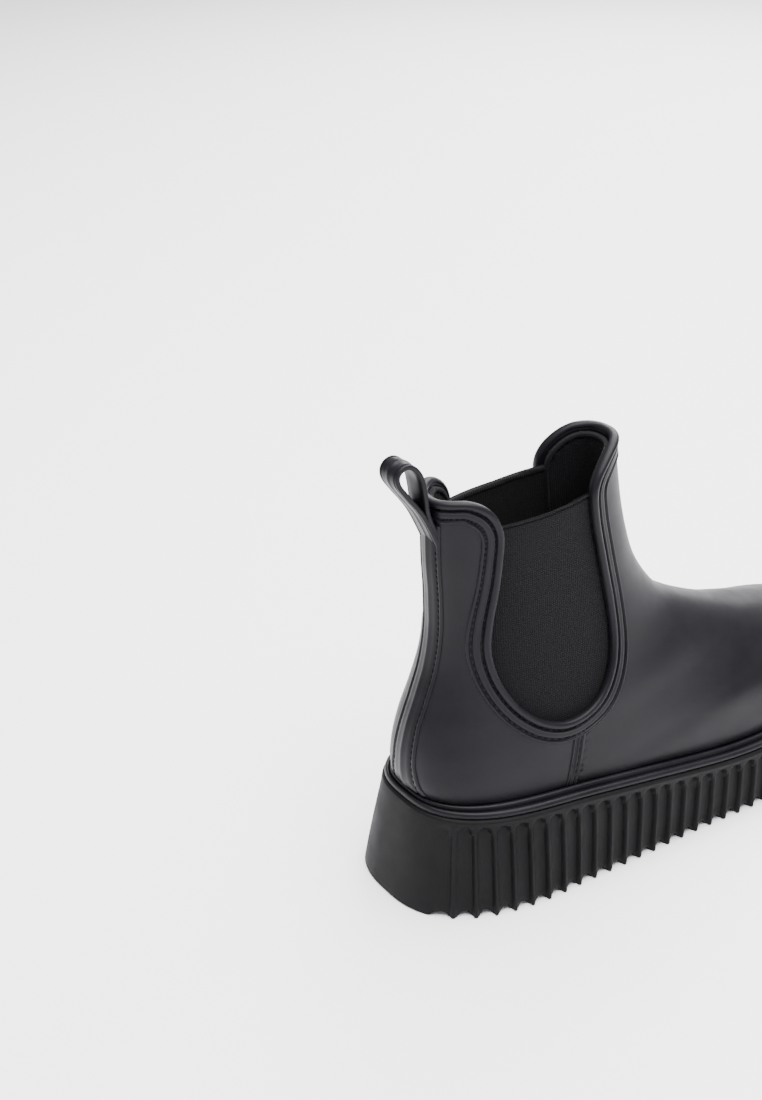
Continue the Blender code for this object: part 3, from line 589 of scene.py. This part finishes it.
def stand_out(u, level, side):
    """How far the wall stands out: all round, flared at the heel, tucked in, swelling beside it."""
    swell = math.sin(math.pi * min(u / (0.35 if side > 0 else 0.5), 1.0)) ** 2
    return (level[0] + level[1] * max(0.0, 1 - (u / 0.32) ** 2) + level[2] * heel_tuck(u)
            + level[3] * swell)


# stand_out()'s four lengths at the foot of the wall and under the ledge.
SOLE_BOTTOM = (7.4, 4.4, 0.0, 3.0)
SOLE_TOP = (6.9, 0.0, -2.6, 0.2)
LEDGE_DROP = 2.2
LEDGE_TUCK = 3.0
WALL_BULGE = 0.35
FOOT_ROUND = 0.9
SOLE_BACK = BACK_X - SOLE_BOTTOM[0] - SOLE_BOTTOM[1]
SOLE_FRONT = FRONT_X + SOLE_BOTTOM[0]


def station_at(x, side):
    """Share of the girth where the sole's bottom edge is at x."""
    if x <= SOLE_BACK:
        return 0.0
    if x >= SOLE_FRONT:
        return 1.0
    low = 0.0
    high = 1.0
    for _ in range(22):
        u = (low + high) / 2
        point, outward = girth_at(u, side)
        if point.x + outward.x * stand_out(u, SOLE_BOTTOM, side) > x:
            high = u
        else:
            low = u
    return u


# One flute: distance forward of the ridge's crest and how deep the wall is cut back there.
FLUTE = ((-1.3, 2.0), (-1.0, 1.45), (-0.7, 0.4), (-0.3, 0.0), (0.25, 0.0), (0.6, 0.3),
         (1.0, 1.0), (1.6, 1.4), (2.6, 1.62), (3.5, 1.78), (4.6, 1.92), (5.8, 2.05))
# The round notch that each flute leaves in the foot of the wall.
NOTCH_HALF = 2.5
NOTCH_HEIGHT = 2.3
END_STEPS = 9
END_LENGTH = 3.0         # length of the closely spaced stations at each end


def flute_weight(x):
    """Flutes fade out round the back of the heel and at the very toe."""
    return ease((x - 13) / 9) * ease((262 - x) / 14)


def sole_stations():
    """Places along the sole: (x, cut at the wall, notch height, distance from flute middle)."""
    ends = [END_LENGTH * (k / END_STEPS) ** 2 for k in range(END_STEPS + 1)]
    made = [(SOLE_BACK + step, 0.0, 0.0, FLUTE_PITCH / 2) for step in ends]
    crest = FLUTE_FIRST - FLUTE_PITCH / 2
    while crest < SOLE_FRONT - 4:
        for ahead, cut in FLUTE:
            x = crest + ahead
            if made[-1][0] + 0.15 < x < SOLE_FRONT - END_LENGTH - 0.2:
                off = ahead - FLUTE_PITCH / 2
                notch = NOTCH_HEIGHT * math.sqrt(max(0.0, 1 - (off / NOTCH_HALF) ** 2))
                made.append((x, cut, notch, off))
        crest += FLUTE_PITCH
    return made + [(SOLE_FRONT - step, 0.0, 0.0, FLUTE_PITCH / 2) for step in reversed(ends)]


# Levels of the wall as shares of the height from the foot to the ledge. Then the ledge:
# distance off the upper and height over the rim.
WALL_SHARES = (0.0, 0.012, 0.035, 0.10, 0.2, 0.3, 0.4, 0.5, 0.6, 0.7, 0.78, 0.84, 0.88, 0.91,
               0.94, 0.965, 0.985, 1.0)
LEDGE_STEPS = ((7.15, -1.75), (7.1, -1.2), (6.8, -0.7), (6.2, -0.25), (5.4, 0.0), (3.0, 0.05),
               (0.4, 0.05), (-2.0, -1.5), (-2.4, -5.0))


def sole_wall(station, side):
    """The wall's points from the ground to the rim at one station."""
    x, cut, notch, off = station
    u = station_at(x, side)
    point, outward = girth_at(u, side)
    rim = soft_height(RIM, point.x)
    weight = flute_weight(point.x)
    floor_level = ground(point.x)
    foot = ground(point.x + outward.x * 7) + notch
    ledge = rim - LEDGE_DROP
    arch_top = 0.6 + 2.0 * (off / (FLUTE_PITCH / 2)) ** 2
    made = []
    for share in WALL_SHARES:
        z = foot + (ledge - foot) * share
        rise = min(max((z - floor_level) / (ledge - floor_level), 0.0), 1.0)
        out = stand_out(u, SOLE_BOTTOM, side) * (1 - rise) + stand_out(u, SOLE_TOP, side) * rise
        out += WALL_BULGE * math.sin(math.pi * rise)
        out -= cut * weight * ease((ledge - arch_top - z) / 1.3)
        out -= FOOT_ROUND * max(0.0, 1 - (z - foot) / FOOT_ROUND) ** 2
        made.append((point.x + outward.x * out, point.y + outward.y * out, z))
    for out, rise in LEDGE_STEPS:
        out -= LEDGE_TUCK * heel_tuck(u) if out > 2 else 0.0
        made.append((point.x + outward.x * out, point.y + outward.y * out, rim + rise))
    return made


BOTTOM_STRIPS = 6


def make_outsole():
    rings = []
    for station in sole_stations():
        outer = sole_wall(station, -1)
        inner = sole_wall(station, 1)
        bottom = [tuple(a + (b - a) * k / BOTTOM_STRIPS for a, b in zip(inner[0], outer[0]))
                  for k in range(1, BOTTOM_STRIPS)]
        rings.append(outer + inner[::-1] + bottom)
    around = len(rings[0])
    last = len(rings) - 1
    bm = bmesh.new()
    lay_grid(bm, around, last, lambda u, v: rings[round(v * last)][round(u * around) % around])
    return fit_out(link_piece("fluted_platform_outsole", bm, SOLE_SKIN, 40.0), "boot", "sole_rubber",
                   "outsole")


# Double bead from its foot outwards and over: distance off the upper and height over the rim.
WELT = ((-2.2, 0.0), (2.0, -0.1), (5.5, -0.1), (6.0, 0.35), (6.25, 1.0), (6.1, 1.7), (5.6, 2.3),
        (4.9, 2.68), (4.2, 2.7), (3.55, 2.4), (3.15, 1.9), (2.9, 1.55), (2.7, 1.9), (2.6, 2.6),
        (2.35, 3.25), (1.9, 3.7), (1.3, 3.9), (0.7, 3.8), (0.25, 3.35), (-1.2, 3.3))
WELT_STATIONS = 300
WELT_LIFT = 0.15


def make_welt():
    around = len(WELT)

    def surface(u, v):
        side, share = both_sides(v)
        point, outward = girth_at(share, side)
        out, rise = WELT[round(u * around) % around]
        out *= 1 - 0.5 * heel_tuck(share) if out > 0 else 1.0
        return (point.x + outward.x * out, point.y + outward.y * out,
                soft_height(RIM, point.x) + WELT_LIFT + rise)
    bm = bmesh.new()
    lay_grid(bm, around, WELT_STATIONS, surface, (20.0, 600.0))
    return fit_out(link_piece("double_welt_bead", bm, RUBBER_SKIN, 60.0), "boot", "upper_rubber",
                   "welt_bead")


# ---- the upper ----

UPPER_ROUND = 150
UPPER_DOWN = 190


def upper_sheet(bm, depth, round_steps=UPPER_ROUND, down_steps=UPPER_DOWN):
    """The whole sock-shaped surface, pushed in by depth, as a closed tube of faces."""
    def surface(u, v):
        side, share = both_sides(u)
        turn = math.pi * share
        row = LAST_ROW * (1 - v)
        return lifted(row, turn, side, -depth) if depth else on_upper(row, turn, side)
    lay_grid(bm, round_steps, down_steps, surface, (230.0, 420.0))
    bmesh.ops.remove_doubles(bm, verts=bm.verts, dist=WELD_GAP)


def keep_faces(bm, wanted):
    """Drop the faces whose middle (x, y, z) is not wanted."""
    drop = [f for f in bm.faces if not wanted(*to_mm(f.calc_center_median()))]
    bmesh.ops.delete(bm, geom=drop, context="FACES")


def thicken(obj, thickness):
    """Give a sheet its wall, inwards from its outer face."""
    wall = obj.modifiers.new("wall", "SOLIDIFY")
    wall.thickness = thickness / 1000
    wall.offset = -1.0
    wall.use_even_offset = False
    return obj


def face_out(bm):
    """Point the sheet's faces away from the middle of the boot."""
    bmesh.ops.recalc_face_normals(bm, faces=bm.faces)
    total = 0.0
    for face in bm.faces:
        y = to_mm(face.calc_center_median())[1]
        total += face.normal.y * (1 if y > 0 else -1) * face.calc_area()
    if total < 0:
        bmesh.ops.reverse_faces(bm, faces=bm.faces)


def sheet_piece(name, bm, material):
    """An open sheet, which must face outwards before it gets its wall."""
    face_out(bm)
    return new_object(name, bm, material)


SEAM_LINE = ((75.5, 240.0), (75.5, 74.0), (74.3, 66.0), (72.8, 58.0), (71.4, 51.0), (69.6, 42.0),
             (68.0, 20.0))


def seam_x(z):
    """Where the quarters meet the vamp, by height."""
    return height_at([(b, a) for a, b in reversed(SEAM_LINE)], z)


UPPER_DROP = 3.0         # the sheets end this far below the edge, under the band


def make_upper():
    trimmed = beyond_edge(UPPER_DROP)
    for name, node_name, wanted in (
            ("vamp_and_tongue", "vamp", lambda x, y, z: x >= seam_x(z)),
            ("outer_quarter", "quarter_outer", lambda x, y, z: x < seam_x(z) and y < 0),
            ("inner_quarter", "quarter_inner", lambda x, y, z: x < seam_x(z) and y >= 0)):
        bm = bmesh.new()
        upper_sheet(bm, 0.0)
        keep_faces(bm, lambda x, y, z: (wanted(x, y, z) and z > height_at(FLOOR, x) + 1.5
                                        and not inside_outline(x, z, trimmed)))
        piece = thicken(sheet_piece(name, bm, RUBBER_SKIN), RUBBER)
        fit_out(piece, "boot", "upper_rubber", node_name)


# Band from under its outer border, over its ridges and grooves, round the rolled lip and
# down the inside: distance in from the edge and height over the upper's outer face.
BAND = ((8.75, -0.6), (8.8, 0.2), (8.7, 0.55), (8.4, 0.8), (8.0, 0.82), (7.75, 0.6), (7.6, 0.05),
        (7.35, -0.1), (6.95, -0.1), (6.7, 0.1), (6.5, 0.62), (6.2, 0.78), (5.4, 0.76),
        (4.9, 0.72), (4.6, 0.7), (4.35, 0.88), (4.1, 0.88), (3.9, 0.6), (3.75, 0.0),
        (3.5, -0.12), (3.2, -0.12), (2.95, 0.1), (2.8, 0.75), (2.45, 1.15), (1.85, 1.45),
        (1.1, 1.5), (0.45, 1.2), (0.05, 0.55), (-0.1, -0.3), (-0.05, -1.3), (0.3, -2.1),
        (1.0, -2.5), (1.6, -2.5), (1.8, -2.35), (2.0, -2.5), (2.9, -2.5), (3.1, -2.35),
        (3.3, -2.5), (4.2, -2.5), (4.5, -2.1), (4.2, -1.2))


def make_band():
    around = len(BAND)
    bm = bmesh.new()
    lay_grid(bm, around, BAND_STATIONS,
             lambda u, v: over_edge(v, *BAND[round(u * around) % around]),
             (30.0, 2 * edge_length))
    return fit_out(link_piece("stitched_topline_band", bm, RUBBER_SKIN, 70.0), "boot",
                   "upper_rubber", "topline_band")


# The narrow tape that binds the lining's top: distance in from the edge and height.
BINDING = ((5.2, -4.0), (5.0, -4.5), (4.2, -4.7), (3.4, -4.5), (3.1, -4.0), (3.2, -2.9),
           (4.2, -2.7), (5.2, -2.9))


def make_lining():
    trimmed = beyond_edge(LINING_DROP + 0.4)
    bm = bmesh.new()
    upper_sheet(bm, LINING_DEPTH, 110, 130)
    keep_faces(bm, lambda x, y, z: not inside_outline(x, z, trimmed) and z > 20)
    lining = thicken(sheet_piece("mesh_lining", bm, LINING_KNIT), LINING_THICKNESS)
    fit_out(lining, "boot", "lining_fabric", "lining")
    around = len(BINDING)
    bm = bmesh.new()
    lay_grid(bm, around, EDGE_STATIONS,
             lambda u, v: over_edge(v, *BINDING[round(u * around) % around]),
             (8.0, 2 * edge_length))
    fit_out(link_piece("lining_binding", bm, LINING_KNIT, 60.0), "boot", "lining_fabric")


def selvedge(drop):
    """Height of the elastic's rolled top over its face, by the drop below its top edge."""
    if drop < 1.1:
        return 0.42 * math.sqrt(max(0.0, 1 - ((drop - 0.55) / 0.56) ** 2))
    return -0.35 * math.exp(-((drop - 1.5) / 0.35) ** 2)


def make_gusset(name, node_name, side):
    low_x, high_x, low_z = 30.0, 101.0, 66.0
    columns, rows = 64, 96
    lap, shoulder = 3.5, 174
    outline = [(x + nx * lap, z + nz * lap) for x, z, nx, nz in edge if z < shoulder]

    def surface(u, v):
        x = low_x + (high_x - low_x) * u
        top = height_at(ELASTIC_TOP, x)
        drop = (1 - v) ** 1.9 * (top - low_z)
        return over_side(x, top - drop, side, -LINING_DEPTH + 0.1 + selvedge(drop))
    bm = bmesh.new()
    lay_grid(bm, columns, rows, surface, (high_x - low_x, 98.0))
    uv_layer = bm.loops.layers.uv.verify()
    for face in bm.faces:
        for loop in face.loops:
            x, _, z = to_mm(loop.vert.co)
            loop[uv_layer].uv = (x / 1000, z / 1000)
    keep_faces(bm, lambda x, y, z: inside_outline(x, z, outline))
    gusset = thicken(sheet_piece(name, bm, ELASTIC), LINING_THICKNESS)
    return fit_out(gusset, "boot", "elastic", node_name)


# ---- strips on the upper ----

STAY_BOTTOM = 49.8
STAY_TOP = 166.0
STAY_WIDTHS = ((49.0, 12.2), (54.0, 9.8), (62.0, 7.8), (80.0, 6.6), (200.0, 6.2))
# Across the heel stay: share of its half width and height over the upper.
STAY = ((-1.0, -0.5), (-1.0, 0.3), (-0.95, 0.6), (-0.86, 0.72), (-0.8, 0.68), (-0.76, 0.3),
        (-0.7, 0.2), (-0.64, 0.3), (-0.6, 0.66), (-0.4, 0.78), (-0.16, 0.85), (-0.09, 1.1),
        (0.0, 1.22), (0.09, 1.1), (0.16, 0.85), (0.4, 0.78), (0.6, 0.66), (0.64, 0.3),
        (0.7, 0.2), (0.76, 0.3), (0.8, 0.68), (0.86, 0.72), (0.95, 0.6), (1.0, 0.3),
        (1.0, -0.5))
STAY_STATIONS = 90


def over_back(z, y, height):
    """Point y to the side of the back line and height over the upper."""
    row = row_at(z, 0)
    width, _, square = blend_rows(SECTIONS, row, 4, 7)
    side = -1 if y < 0 else 1
    across = min(abs(y) / width, 1.0)
    along = (1 - across ** square) ** (1 / square)
    return lifted(row, math.atan2(across, along), side, height)


def make_stay():
    around = len(STAY)

    def surface(u, v):
        z = STAY_BOTTOM + (STAY_TOP - STAY_BOTTOM) * v
        share, height = STAY[round(u * around) % around]
        return over_back(z, share * height_at(STAY_WIDTHS, z), height)
    bm = bmesh.new()
    lay_grid(bm, around, STAY_STATIONS, surface, (20.0, 120.0))
    close_ends(bm)
    return fit_out(link_piece("heel_stay_strip", bm, RUBBER_SKIN, 60.0), "boot", "upper_rubber",
                   "heel_stay")


# Across the side seam: distance along the boot from its middle and height over the upper.
SEAM = ((-3.1, -0.4), (-3.0, 0.25), (-2.7, 0.5), (-2.3, 0.45), (-2.0, 0.18), (-1.3, 0.12),
        (-0.95, 0.15), (-0.75, 0.55), (-0.4, 0.72), (0.0, 0.55), (0.2, 0.1), (0.6, 0.02),
        (1.0, 0.1), (1.25, 0.5), (1.6, 0.68), (2.0, 0.5), (2.3, 0.15), (2.9, 0.1), (3.1, -0.4))
SEAM_STATIONS = 40


def make_side_seam(name, side):
    around = len(SEAM)

    def surface(u, v):
        x, z = pick(SIDE_SEAM, v)
        along, height = SEAM[round(u * around) % around]
        return over_side(x + along, z, side, height)
    bm = bmesh.new()
    lay_grid(bm, around, SEAM_STATIONS, surface, (8.0, 32.0))
    close_ends(bm)
    return fit_out(link_piece(name, bm, RUBBER_SKIN, 60.0), "boot", "upper_rubber")


# ---- sewing ----

def add_stitch(bm, start, end, facing, width, height):
    """One short rounded stitch from start to end."""
    made = bmesh.ops.create_uvsphere(bm, u_segments=6, v_segments=4, radius=1.0)["verts"]
    way = end - start
    side = facing.cross(way).normalized()
    up = way.cross(side).normalized()
    turn = Matrix((side * width / 2, up * height / 2, way / 2)).transposed().to_4x4()
    turn.translation = (start + end) / 2
    for vert in made:
        co = vert.co
        co.z = math.copysign(abs(co.z) ** 0.55, co.z)
        vert.co = turn @ co


def sew(name, spots, slot, *stands_for):
    """A row of stitches; spots hold (start, end, the way out of the surface) in millimetres."""
    bm = bmesh.new()
    bm.loops.layers.uv.verify()
    for start, end, facing, width, height in spots:
        add_stitch(bm, place(*start), place(*end), facing, width / 1000, height / 1000)
    return fit_out(link_piece(name, bm, THREAD, 60.0), "boot", slot, *stands_for)


BAND_STITCH = 1.9
BAND_PITCH = 2.7
STAY_STITCH = 1.7
STAY_PITCH = 2.6
STAY_SHARE = 0.7         # the stay's stitches lie in the groove at this share of its half width
SEAM_COUNT = 11
SEAM_GROOVE = 0.6


def band_stitches(distance, height):
    """Stitches all the way round the band at a distance in from the edge."""
    count = round(2 * edge_length / BAND_PITCH)
    spots = []
    for k in range(count):
        v = (k + 0.5) / count
        half = BAND_STITCH / (4 * edge_length)
        start = over_edge(v - half, distance, height)
        end = over_edge(v + half, distance, height)
        facing = over_edge(v, distance, height + 1) - over_edge(v, distance, height)
        spots.append((start, end, facing, 0.62, 0.5))
    return spots


def stay_stitches(side):
    spots = []
    count = round((TAB_FOOT - 3 - STAY_BOTTOM) / STAY_PITCH)
    for k in range(count):
        z = STAY_BOTTOM + 2.5 + STAY_PITCH * k
        y = side * STAY_SHARE * height_at(STAY_WIDTHS, z)
        start = over_back(z - STAY_STITCH / 2, y, 0.38)
        end = over_back(z + STAY_STITCH / 2, y, 0.38)
        facing = over_back(z, y, 2.0) - over_back(z, y, 1.0)
        spots.append((start, end, facing, 0.7, 0.6))
    return spots


def seam_stitches(side):
    spots = []
    for k in range(SEAM_COUNT):
        v = 0.06 + 0.085 * k
        x, z = pick(SIDE_SEAM, v)
        x1, z1 = pick(SIDE_SEAM, min(v + 0.05, 1.0))
        start = over_side(x + SEAM_GROOVE, z, side, 0.2)
        end = over_side(x1 + SEAM_GROOVE, z1, side, 0.2)
        facing = over_side(x + SEAM_GROOVE, z, side, 1.2) - start
        spots.append((start, end, facing, 0.6, 0.5))
    return spots


# ---- pull strap ----

TAB_FOOT = 158.0
# Middle of the strap, (x, z): out of the stay, up, over the loop's top and back into the stay.
STRAP_PATH = ((23.0, 157.5), (21.6, 161.0), (19.8, 165.0), (18.0, 169.0), (16.8, 173.0),
              (16.2, 177.5), (15.5, 182.0), (14.2, 187.4), (11.4, 191.8), (8.0, 193.8),
              (4.8, 193.0), (3.2, 190.3), (4.1, 186.6), (7.9, 181.2), (11.6, 176.4),
              (14.8, 171.8), (17.4, 167.0), (19.8, 162.0), (22.0, 157.0), (23.4, 153.5))
# Across the strap: shares of its half width and half thickness. Its edges are round, and its
# outer face has two lengthwise grooves and a middle ridge.
STRAP_SECTION = ((-1.0, -0.3), (-0.985, -0.75), (-0.93, -1.0), (-0.4, -1.0), (0.0, -1.0),
                 (0.4, -1.0), (0.93, -1.0), (0.985, -0.75), (1.0, -0.3), (1.0, 0.3),
                 (0.985, 0.72), (0.92, 0.95), (0.82, 0.95), (0.78, 0.62), (0.7, 0.6),
                 (0.66, 0.95), (0.4, 1.0), (0.12, 1.0), (0.07, 1.2), (-0.07, 1.2),
                 (-0.12, 1.0), (-0.4, 1.0), (-0.66, 0.95), (-0.7, 0.6), (-0.78, 0.62),
                 (-0.82, 0.95), (-0.92, 0.95), (-0.985, 0.72), (-1.0, 0.3))
STRAP_STATIONS = 130


def strap_frame(v):
    """Middle of the strap and the way out of its outer face at a share of its length."""
    position = v * (len(STRAP_PATH) - 1)
    x, z = blend_rows(STRAP_PATH, position)
    x0, z0 = blend_rows(STRAP_PATH, max(position - 0.15, 0.0))
    x1, z1 = blend_rows(STRAP_PATH, min(position + 0.15, len(STRAP_PATH) - 1.001))
    length = math.hypot(x1 - x0, z1 - z0)
    return x, z, (z1 - z0) / length, -(x1 - x0) / length


def make_strap():
    around = len(STRAP_SECTION)

    def surface(u, v):
        x, z, nx, nz = strap_frame(v)
        across, through = STRAP_SECTION[round(u * around) % around]
        half = TAB_THICKNESS / 2 * through
        return x + nx * half, across * TAB_HALF_WIDTH, z + nz * half
    bm = bmesh.new()
    lay_grid(bm, around, STRAP_STATIONS, surface, (34.0, 96.0))
    close_ends(bm)
    strap = link_piece("rubber_pull_strap", bm, RUBBER_SKIN, 50.0)
    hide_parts("pull_tab", "pull_tab_root")
    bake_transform(strap)
    return strap


# ---- footbed ----

FOOTBED_DEPTH = 4.7      # clearance from the upper's outer face to the footbed's edge
FOOTBED_GRID = (28, 90)
FOOTBED_TOP = 11.2       # height of its cloth over the shell's floor
FOOTBED_CLOTH_THICKNESS = 1.2
FOOTBED_GAP = 0.6


def make_footbed():
    low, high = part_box("footbed_cover")
    x_low = to_mm(low)[0] + FOOTBED_GAP
    x_high = to_mm(high)[0] - FOOTBED_GAP

    def half_widths(x):
        z = height_at(FLOOR, x) + FOOTBED_TOP
        row, turn = from_side(x, z)
        return [lifted(row, turn, side, -FOOTBED_DEPTH).y for side in (-1, 1)]

    def surface(u, v):
        x = x_low + (x_high - x_low) * (1 - math.cos(math.pi * v)) / 2
        outer, inner = half_widths(x)
        y = outer + (inner - outer) * u
        rim = max(abs(2 * u - 1), abs(2 * v - 1)) ** 6
        dish = 0.35 * rim + (0.5 if x < 90 else 0.15) * abs(2 * u - 1) ** 3
        return x, y, soft_height(FLOOR, x) + FOOTBED_TOP - 0.35 + dish
    bm = bmesh.new()
    lay_grid(bm, *FOOTBED_GRID, surface, (62.0, 230.0))
    bmesh.ops.recalc_face_normals(bm, faces=bm.faces)
    if sum(f.normal.z for f in bm.faces) < 0:
        bmesh.ops.reverse_faces(bm, faces=bm.faces)
    cloth = thicken(new_object("footbed_cloth", bm, FOOTBED_CLOTH), FOOTBED_CLOTH_THICKNESS)
    return fit_out(cloth, "boot", "footbed_fabric", "footbed_cover")


# ---- assembly ----

make_outsole()
make_welt()
make_upper()
make_band()
make_lining()
make_gusset("outer_elastic", "gusset_outer", -1)
make_gusset("inner_elastic", "gusset_inner", 1)
make_stay()
make_side_seam("outer_side_seam", -1)
make_side_seam("inner_side_seam", 1)
sew("band_edge_stitches", band_stitches(3.35, 0.02), "thread", "thread_edge_row")
sew("band_border_stitches", band_stitches(7.15, 0.04), "thread", "thread_outer_row")
sew("stay_stitches_outer", stay_stitches(-1), "thread", "thread_stay_outer")
sew("stay_stitches_inner", stay_stitches(1), "thread", "thread_stay_inner")
sew("side_seam_stitches_outer", seam_stitches(-1), "thread")
sew("side_seam_stitches_inner", seam_stitches(1), "thread")
make_strap()
make_footbed()

for name, material, slot in (("footbed_foam", FOAM, "footbed_foam"),
                             ("sole_core", CORE_FOAM, "sole_core_foam"),
                             ("insole_board", BOARD, "insole_board")):
    piece = nodes[name]
    piece.data.materials.clear()
    piece.data.materials.append(material)

# ---- studio ----

FLOOR_HALF = 6.0
bm = bmesh.new()
bmesh.ops.create_grid(bm, x_segments=1, y_segments=1, size=FLOOR_HALF)
PAPER = new_material("matte_studio_paper", "#faf9fc", 0.95, 0.1)[0]
new_object("studio_floor", bm, PAPER)

world = bpy.data.worlds.new("studio_air")
bpy.context.scene.world = world
world.use_nodes = True
world.node_tree.nodes["Background"].inputs["Color"].default_value = srgb("#f6f6fa")
world.node_tree.nodes["Background"].inputs["Strength"].default_value = 0.55


def add_light(name, location, aim, size, power):
    """A soft rectangle of white light; size in metres, power in watts."""
    data = bpy.data.lights.new(name, "AREA")
    data.shape = "RECTANGLE"
    data.size, data.size_y = size
    data.energy = power
    light = bpy.data.objects.new(name, data)
    light.location = location
    light.rotation_mode = "QUATERNION"
    light.rotation_quaternion = (Vector(location) - Vector(aim)).to_track_quat("Z", "Y")
    bpy.context.scene.collection.objects.link(light)


add_light("overhead_softbox", (0.1, -0.1, 1.5), (0.0, 0.0, 0.08), (2.0, 1.6), 130.0)
add_light("left_softbox", (-1.3, -0.1, 0.7), (0.0, 0.0, 0.09), (0.9, 1.1), 2.0)
add_light("front_softbox", (-0.2, -1.5, 0.9), (0.02, 0.0, 0.07), (1.4, 0.8), 1.5)
add_light("back_softbox", (1.2, 1.1, 0.9), (0.05, 0.0, 0.08), (1.0, 0.8), 34.0)

AZIMUTH = math.radians(-33.94)
ELEVATION = math.radians(27.96)
ROLL = math.radians(-0.56)
DISTANCE = 0.8854
LENS = 58.88
TARGET = place(104.49, 156.56, 60.0)
back = Vector((math.sin(AZIMUTH) * math.cos(ELEVATION), -math.cos(AZIMUTH) * math.cos(ELEVATION),
               math.sin(ELEVATION)))
level = Vector((math.cos(AZIMUTH), math.sin(AZIMUTH), 0.0))
upright = back.cross(level)
right = math.cos(ROLL) * level + math.sin(ROLL) * upright
up = math.cos(ROLL) * upright - math.sin(ROLL) * level
camera_data = bpy.data.cameras.new("studio_camera")
camera_data.lens = LENS
camera_data.sensor_width = 36.0
camera_data.clip_start = 0.01
camera_data.clip_end = 50.0
camera = bpy.data.objects.new("studio_camera", camera_data)
axes = Matrix((right, up, back)).transposed().to_4x4()
axes.translation = TARGET + back * DISTANCE
camera.matrix_world = axes
bpy.context.scene.collection.objects.link(camera)
bpy.context.scene.camera = camera
